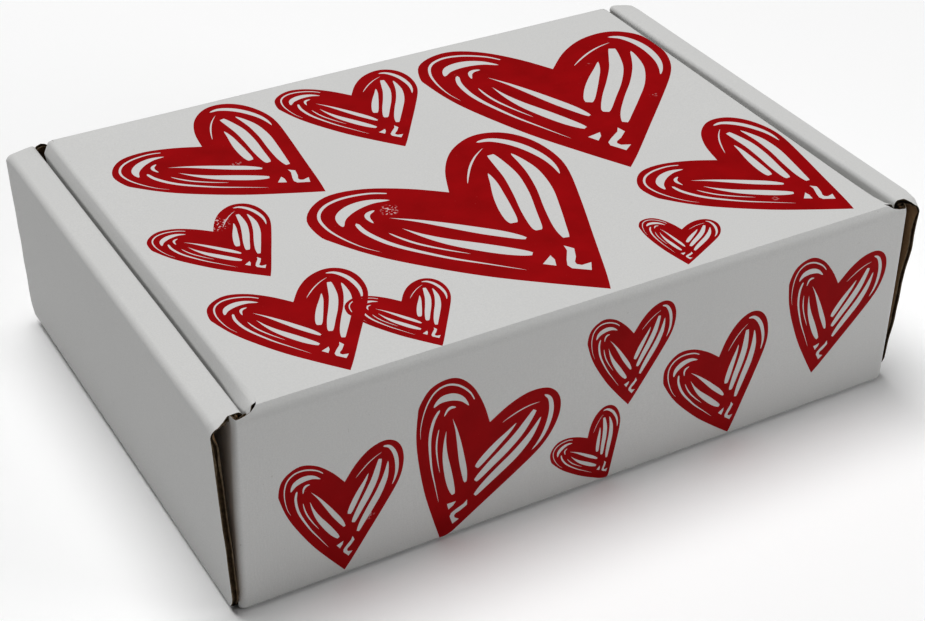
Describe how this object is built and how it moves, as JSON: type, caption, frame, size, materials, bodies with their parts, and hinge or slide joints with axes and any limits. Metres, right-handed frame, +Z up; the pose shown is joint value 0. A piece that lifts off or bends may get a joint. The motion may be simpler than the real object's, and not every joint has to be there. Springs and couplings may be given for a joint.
{
  "type": "cardboard gift box",
  "caption": "Shut gift box folded from one sheet of white-faced corrugated board: double side walls rolled over at the top, a hinged lid with side ears and a tuck flap.",
  "frame": {"origin": "middle of the underside, on the surface that the box stands on", "axes": "+Z up; +X along the hinge wall, from one rolled side wall to the other; the wall that carries the lid's hinge faces -Y and the wall that takes the tuck flap faces +Y"},
  "size_m": [0.1984, 0.136, 0.0565],
  "materials": {
    "tray_board": "matte white liner, red printed hearts on the hinge wall, brown cut edges and inside",
    "lid_board": "matte white liner with red printed hearts, brown cut edges and inside",
    "tuck_flap_board": "matte white liner, brown cut edges and inside"
  },
  "bodies": {
    "tray": {"tray": "tray_board"},
    "lid": {"lid": "lid_board"},
    "tuck_flap": {"tuck_flap": "tuck_flap_board"}
  },
  "joints": [
    {"name": "lid_hinge", "type": "hinge", "parent": "tray", "child": "lid", "pos_m": [0, -0.0674, 0.0559], "axis": [1, 0, 0], "range_deg": [0, 180]},
    {"name": "tuck_hinge", "type": "hinge", "parent": "lid", "child": "tuck_flap", "pos_m": [0, 0.0631, 0.0537], "axis": [-1, 0, 0], "range_deg": [0, 80]}
  ]
}
